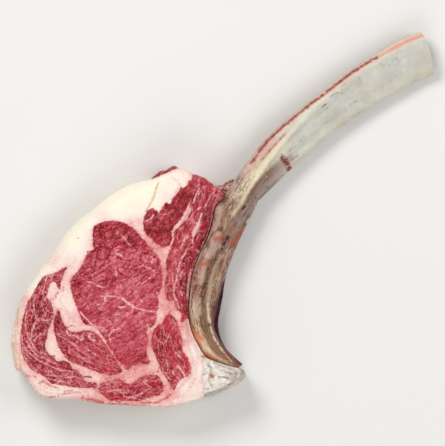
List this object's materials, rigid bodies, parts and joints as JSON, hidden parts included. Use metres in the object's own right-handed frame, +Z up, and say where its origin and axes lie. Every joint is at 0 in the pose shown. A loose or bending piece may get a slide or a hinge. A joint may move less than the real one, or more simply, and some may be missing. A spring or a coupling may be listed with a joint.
{
  "type": "bone-in beef rib steak",
  "caption": "Raw bone-in beef rib steak lying flat, with marbled muscles in a web of fat and a long curved rib reaching out past the meat.",
  "frame": {"origin": "under the middle of the whole, on the surface that the steak lies on", "axes": "+Z up out of the cut face, +X towards the rib's free end across the meat, +Y from the sawn backbone towards the top of the meat"},
  "size_m": [0.3822, 0.34, 0.0499],
  "materials": {
    "lean": "moist raw red meat with fine pale marbling",
    "dark_lean": "moist dark red meat",
    "fat": "smooth cream to pale pink fat with a soft sheen",
    "membrane": "thin tan tissue, moist",
    "bone": "scraped bone, pale grey to tan, slightly moist",
    "sawn_bone": "rough sawn bone, off-white"
  },
  "bodies": {
    "root": {"eye_muscle": "lean", "cap_muscle": "lean", "inner_muscle": "lean", "lower_muscle": "lean", "spine_muscle": "lean", "rib_muscle": "lean", "upper_muscle": "dark_lean", "outer_strip_muscle": "dark_lean", "under_rib_muscle": "dark_lean", "fat": "fat", "membrane_web": "membrane", "rib_bone": "bone", "backbone_chip": "sawn_bone"}
  },
  "joints": []
}
